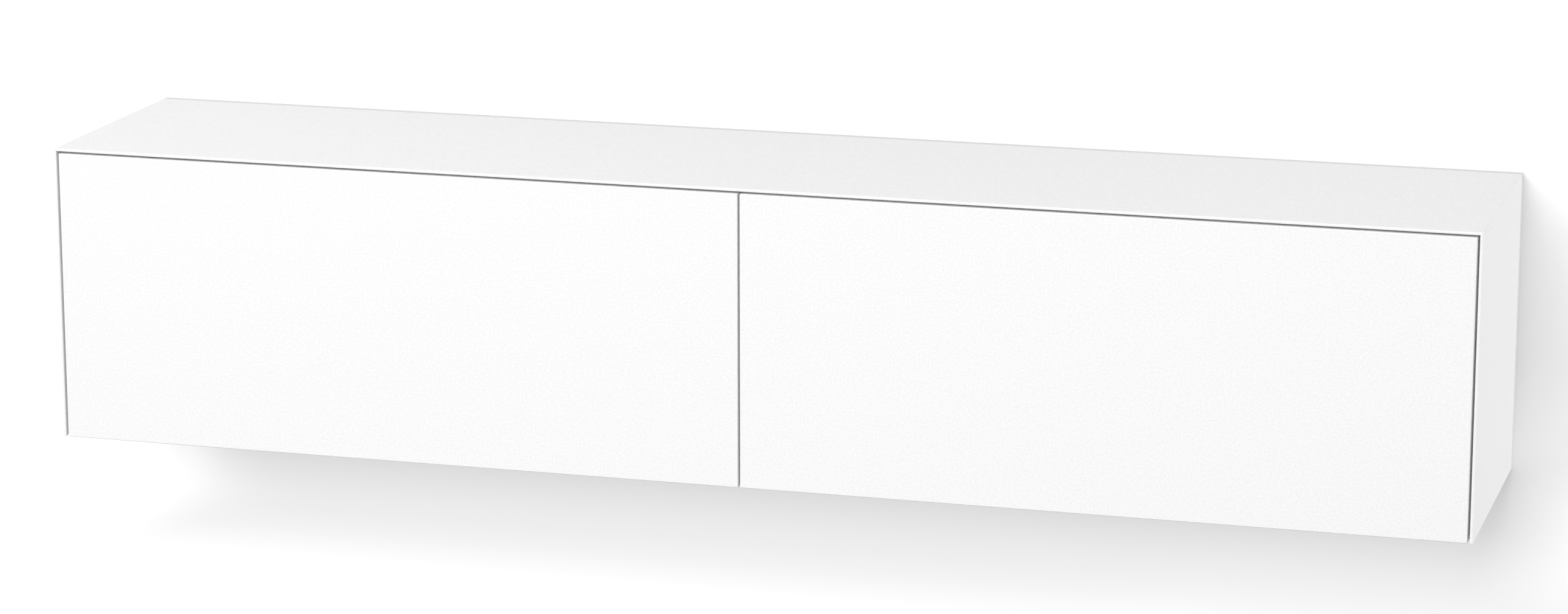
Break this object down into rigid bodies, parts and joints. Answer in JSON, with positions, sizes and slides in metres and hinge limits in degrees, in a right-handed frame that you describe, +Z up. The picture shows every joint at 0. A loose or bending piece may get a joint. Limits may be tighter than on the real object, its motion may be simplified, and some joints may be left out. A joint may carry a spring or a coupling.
{
  "type": "hanging wall cabinet",
  "caption": "Low wall-hung cabinet with plain handle-less drop-down flaps, a shelf in each bay, brake stays and an interlocking hanging rail.",
  "frame": {"origin": "middle of the wall rail's screw holes, on the wall plane", "axes": "+X along the wall to the right as seen from the front, +Y into the wall, +Z up"},
  "size_m": [1.8, 0.36, 0.375],
  "materials": {
    "white_lacquer": "matte",
    "white_board": "matte",
    "zinc_plated_steel": "satin",
    "extruded_aluminium": "satin",
    "latch_plastic": "matte",
    "soft_bumper": "matte",
    "beech": "matte"
  },
  "bodies": {
    "carcass": {"top_panel": "white_lacquer", "bottom_panel": "white_lacquer", "left_side_panel": "white_lacquer", "right_side_panel": "white_lacquer", "centre_partition": "white_board", "back_panel": "white_board", "wall_rail": "extruded_aluminium", "hanging_rail": "extruded_aluminium", "hanging_rail_screws": "zinc_plated_steel", "carcass_screws": "zinc_plated_steel", "carcass_dowels": "beech", "mitre_splines": "beech", "stay_brake_pins": "zinc_plated_steel", "right_hanging_batten": "white_board", "right_shelf": "white_board", "right_shelf_pins": "zinc_plated_steel", "right_hinge_fixed_leaves": "zinc_plated_steel", "right_hinge_pins": "zinc_plated_steel", "right_latch_housing": "latch_plastic", "right_inner_stay_brake_housing": "zinc_plated_steel", "right_outer_stay_brake_housing": "zinc_plated_steel", "left_hanging_batten": "white_board", "left_shelf": "white_board", "left_shelf_pins": "zinc_plated_steel", "left_hinge_fixed_leaves": "zinc_plated_steel", "left_hinge_pins": "zinc_plated_steel", "left_latch_housing": "latch_plastic", "left_inner_stay_brake_housing": "zinc_plated_steel", "left_outer_stay_brake_housing": "zinc_plated_steel"},
    "right_flap": {"right_flap": "white_lacquer", "right_flap_bumpers": "soft_bumper", "right_flap_screws": "zinc_plated_steel", "right_hinge_flap_leaves": "zinc_plated_steel", "right_stay_eye_pins": "zinc_plated_steel", "right_latch_strike_plate": "zinc_plated_steel", "right_inner_stay_flap_bracket": "zinc_plated_steel", "right_outer_stay_flap_bracket": "zinc_plated_steel"},
    "left_flap": {"left_flap": "white_lacquer", "left_flap_bumpers": "soft_bumper", "left_flap_screws": "zinc_plated_steel", "left_hinge_flap_leaves": "zinc_plated_steel", "left_stay_eye_pins": "zinc_plated_steel", "left_latch_strike_plate": "zinc_plated_steel", "left_inner_stay_flap_bracket": "zinc_plated_steel", "left_outer_stay_flap_bracket": "zinc_plated_steel"},
    "right_inner_stay_arm": {"right_inner_stay_arm": "zinc_plated_steel", "right_inner_stay_elbow_pin": "zinc_plated_steel"},
    "right_inner_stay_link": {"right_inner_stay_link": "zinc_plated_steel"},
    "right_outer_stay_arm": {"right_outer_stay_arm": "zinc_plated_steel", "right_outer_stay_elbow_pin": "zinc_plated_steel"},
    "right_outer_stay_link": {"right_outer_stay_link": "zinc_plated_steel"},
    "left_inner_stay_arm": {"left_inner_stay_arm": "zinc_plated_steel", "left_inner_stay_elbow_pin": "zinc_plated_steel"},
    "left_inner_stay_link": {"left_inner_stay_link": "zinc_plated_steel"},
    "left_outer_stay_arm": {"left_outer_stay_arm": "zinc_plated_steel", "left_outer_stay_elbow_pin": "zinc_plated_steel"},
    "left_outer_stay_link": {"left_outer_stay_link": "zinc_plated_steel"},
    "right_latch_plunger": {"right_latch_plunger": "latch_plastic"},
    "left_latch_plunger": {"left_latch_plunger": "latch_plastic"}
  },
  "joints": [
    {"name": "right_flap_hinge", "type": "hinge", "parent": "carcass", "child": "right_flap", "pos_m": [0, -0.345, -0.2635], "axis": [1, 0, 0], "range_deg": [0, 90]},
    {"name": "left_flap_hinge", "type": "hinge", "parent": "carcass", "child": "left_flap", "pos_m": [0, -0.345, -0.2635], "axis": [1, 0, 0], "range_deg": [0, 90]},
    {"name": "right_inner_arm_pivot", "type": "hinge", "parent": "carcass", "child": "right_inner_stay_arm", "pos_m": [0, -0.16, -0.2235], "axis": [1, 0, 0], "range_deg": [0, 90]},
    {"name": "right_inner_link_pivot", "type": "hinge", "parent": "right_inner_stay_arm", "child": "right_inner_stay_link", "pos_m": [0, -0.138, -0.1135], "axis": [1, 0, 0], "range_deg": [-90, 0]},
    {"name": "right_outer_arm_pivot", "type": "hinge", "parent": "carcass", "child": "right_outer_stay_arm", "pos_m": [0, -0.16, -0.2235], "axis": [1, 0, 0], "range_deg": [0, 90]},
    {"name": "right_outer_link_pivot", "type": "hinge", "parent": "right_outer_stay_arm", "child": "right_outer_stay_link", "pos_m": [0, -0.138, -0.1135], "axis": [1, 0, 0], "range_deg": [-90, 0]},
    {"name": "left_inner_arm_pivot", "type": "hinge", "parent": "carcass", "child": "left_inner_stay_arm", "pos_m": [0, -0.16, -0.2235], "axis": [1, 0, 0], "range_deg": [0, 90]},
    {"name": "left_inner_link_pivot", "type": "hinge", "parent": "left_inner_stay_arm", "child": "left_inner_stay_link", "pos_m": [0, -0.138, -0.1135], "axis": [1, 0, 0], "range_deg": [-90, 0]},
    {"name": "left_outer_arm_pivot", "type": "hinge", "parent": "carcass", "child": "left_outer_stay_arm", "pos_m": [0, -0.16, -0.2235], "axis": [1, 0, 0], "range_deg": [0, 90]},
    {"name": "left_outer_link_pivot", "type": "hinge", "parent": "left_outer_stay_arm", "child": "left_outer_stay_link", "pos_m": [0, -0.138, -0.1135], "axis": [1, 0, 0], "range_deg": [-90, 0]},
    {"name": "right_latch_push", "type": "slide", "parent": "carcass", "child": "right_latch_plunger", "axis": [0, -1, 0], "range_m": [0, 0.004]},
    {"name": "left_latch_push", "type": "slide", "parent": "carcass", "child": "left_latch_plunger", "axis": [0, -1, 0], "range_m": [0, 0.004]}
  ],
  "couplings": [
    {"joint": "right_inner_arm_pivot", "follows": "right_flap_hinge", "ratio": 1},
    {"joint": "right_inner_link_pivot", "follows": "right_flap_hinge", "ratio": -1},
    {"joint": "right_outer_arm_pivot", "follows": "right_flap_hinge", "ratio": 1},
    {"joint": "right_outer_link_pivot", "follows": "right_flap_hinge", "ratio": -1},
    {"joint": "left_inner_arm_pivot", "follows": "left_flap_hinge", "ratio": 1},
    {"joint": "left_inner_link_pivot", "follows": "left_flap_hinge", "ratio": -1},
    {"joint": "left_outer_arm_pivot", "follows": "left_flap_hinge", "ratio": 1},
    {"joint": "left_outer_link_pivot", "follows": "left_flap_hinge", "ratio": -1},
    {"joint": "right_latch_push", "follows": "right_flap_hinge", "m_per_rad": 0.00254},
    {"joint": "left_latch_push", "follows": "left_flap_hinge", "m_per_rad": 0.00254}
  ]
}
